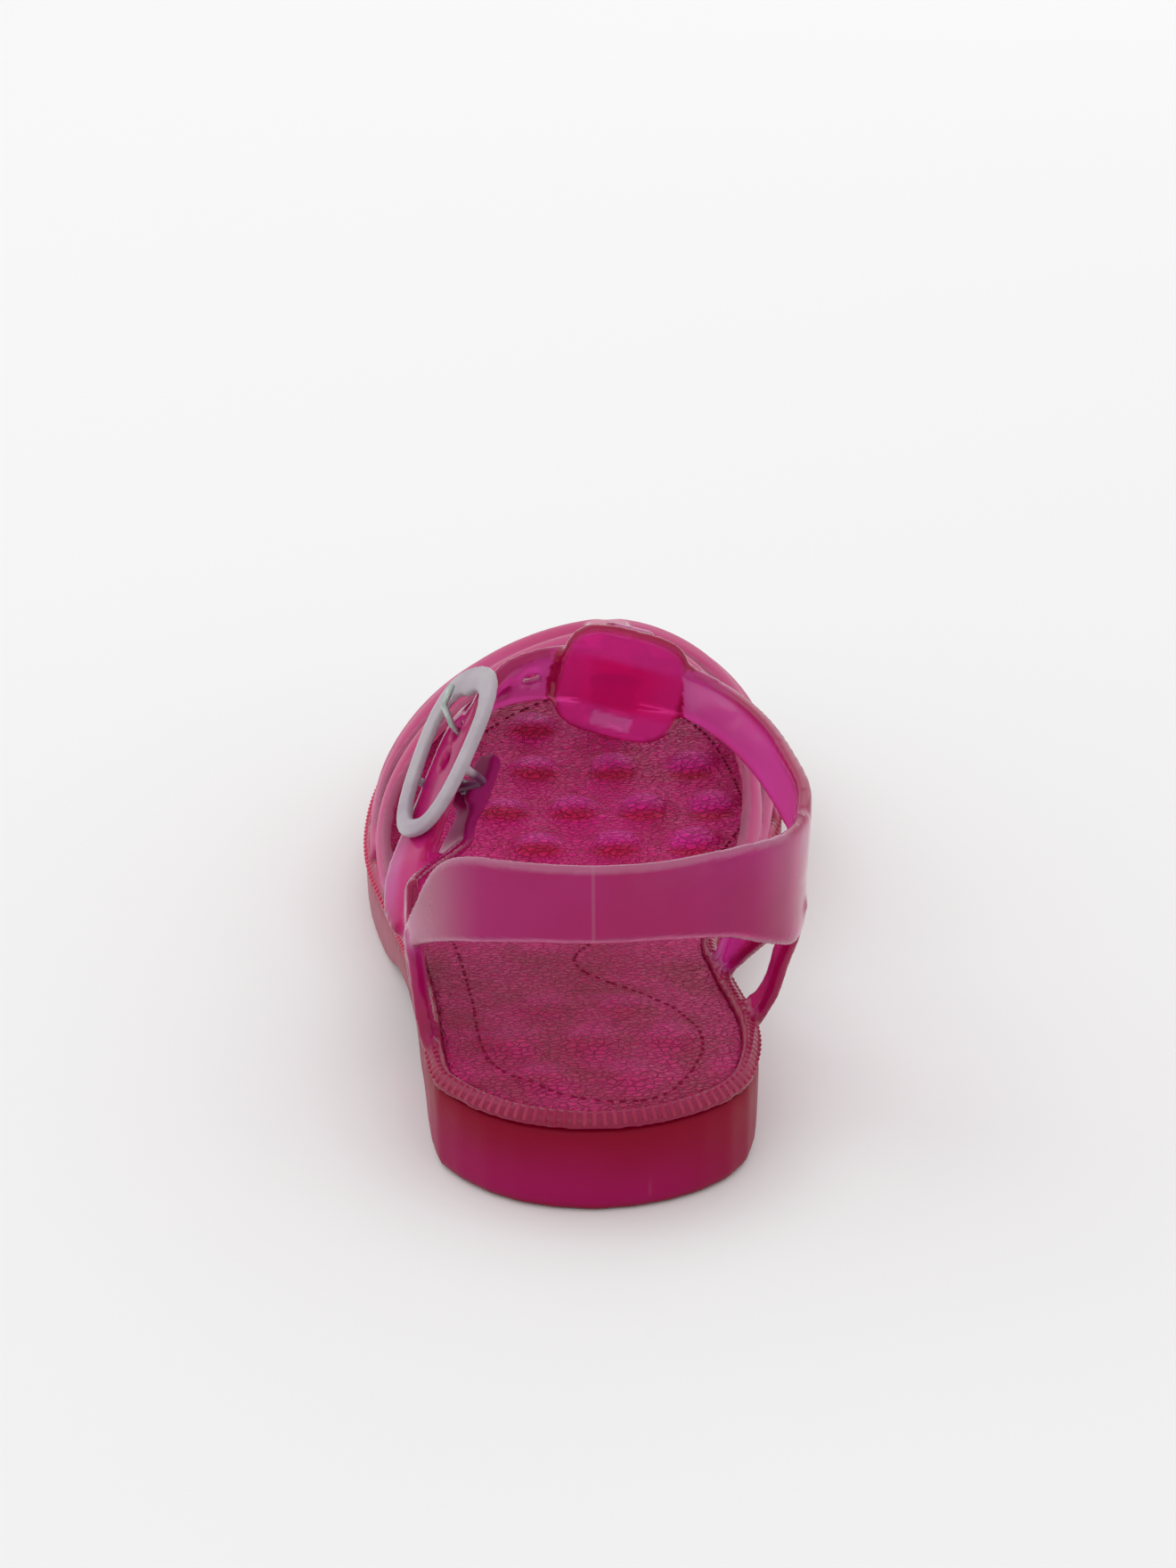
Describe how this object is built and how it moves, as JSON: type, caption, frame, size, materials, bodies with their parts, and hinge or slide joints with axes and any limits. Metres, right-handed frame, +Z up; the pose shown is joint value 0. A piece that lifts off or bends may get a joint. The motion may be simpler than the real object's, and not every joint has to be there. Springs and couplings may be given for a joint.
{
  "type": "jelly sandal",
  "caption": "Child's left jelly sandal in clear fuchsia vinyl: T-bar cage vamp, buckled ankle strap, ribbed welt, low heel and domed footbed.",
  "frame": {"origin": "on the floor, under the middle of the heel seat", "axes": "+Y towards the toe, +X towards the big-toe side, +Z up"},
  "size_m": [0.0761, 0.189, 0.0655],
  "materials": {
    "sole_vinyl": "clear dark crimson vinyl, glossy",
    "footbed_vinyl": "fuchsia vinyl with a fine leather grain",
    "fuchsia_vinyl": "clear fuchsia vinyl, glossy and a little cloudy",
    "buckle_plastic": "milky translucent plastic",
    "prong_steel": "dull grey steel wire"
  },
  "bodies": {
    "root": {"outsole": "sole_vinyl", "footbed": "footbed_vinyl", "upper": "fuchsia_vinyl", "buckle_frame": "buckle_plastic", "buckle_prong": "prong_steel"}
  },
  "joints": []
}
